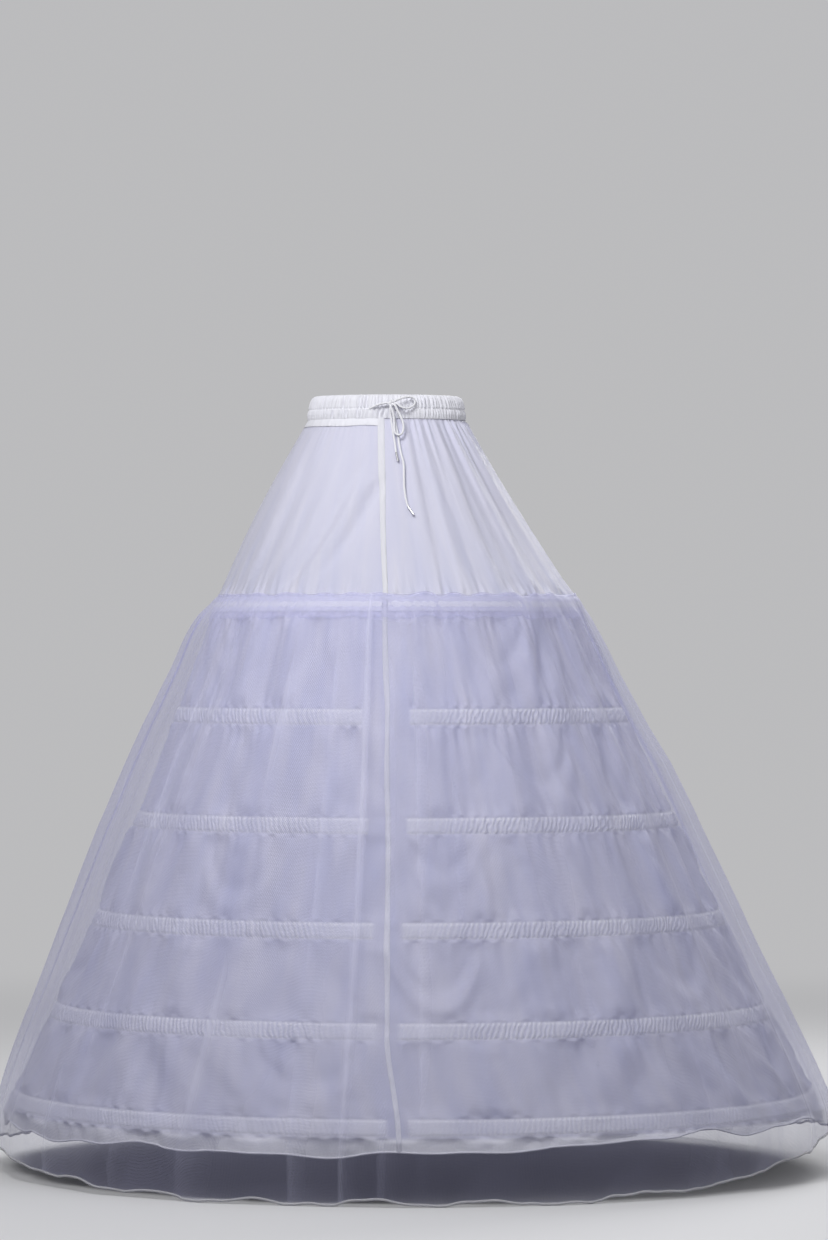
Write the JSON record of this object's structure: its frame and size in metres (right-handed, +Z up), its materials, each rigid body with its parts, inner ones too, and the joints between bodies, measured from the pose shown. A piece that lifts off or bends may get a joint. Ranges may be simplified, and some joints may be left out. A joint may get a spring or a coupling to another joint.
{
  "type": "hoop petticoat",
  "caption": "Floor-length crinoline petticoat: flared white lining spread by sprung hoops in sewn tapes, with a tulle overskirt and a ruched drawstring waistband.",
  "frame": {"origin": "middle of the hem's outline, at floor height", "axes": "+Z up towards the waist, -Y towards the side with the bow, +X to the right seen from that side"},
  "size_m": [1.2266, 1.2242, 1.121],
  "materials": {
    "lining_satin": "satin",
    "tulle_net": "sheer net",
    "white_tape": "matte",
    "white_cord": "matte",
    "hoop_strip": "white coating",
    "bright_metal": "bright"
  },
  "bodies": {
    "root": {"lining_front_right": "lining_satin", "lining_back_right": "lining_satin", "lining_back_left": "lining_satin", "lining_front_left": "lining_satin", "waistband_casing": "lining_satin", "tulle_front_right": "tulle_net", "tulle_back_right": "tulle_net", "tulle_back_left": "tulle_net", "tulle_front_left": "tulle_net", "hoop_tape_1": "white_tape", "hoop_tape_2": "white_tape", "hoop_tape_3": "white_tape", "hoop_tape_4": "white_tape", "hoop_tape_5": "white_tape", "hoop_tape_6": "white_tape", "front_seam_strip": "white_tape", "back_seam_strip": "white_tape", "tulle_heading": "white_tape", "tulle_hem_binding": "white_tape", "waist_elastic": "white_tape", "drawstring_run": "white_cord", "drawstring_left": "white_cord", "drawstring_right": "white_cord", "drawstring_knot": "white_cord", "hoop_1": "hoop_strip", "hoop_2": "hoop_strip", "hoop_3": "hoop_strip", "hoop_4": "hoop_strip", "hoop_5": "hoop_strip", "hoop_6": "hoop_strip", "hoop_joiner_1": "bright_metal", "hoop_joiner_2": "bright_metal", "hoop_joiner_3": "bright_metal", "hoop_joiner_4": "bright_metal", "hoop_joiner_5": "bright_metal", "hoop_joiner_6": "bright_metal", "aglet_long": "bright_metal", "aglet_short": "bright_metal"}
  },
  "joints": []
}
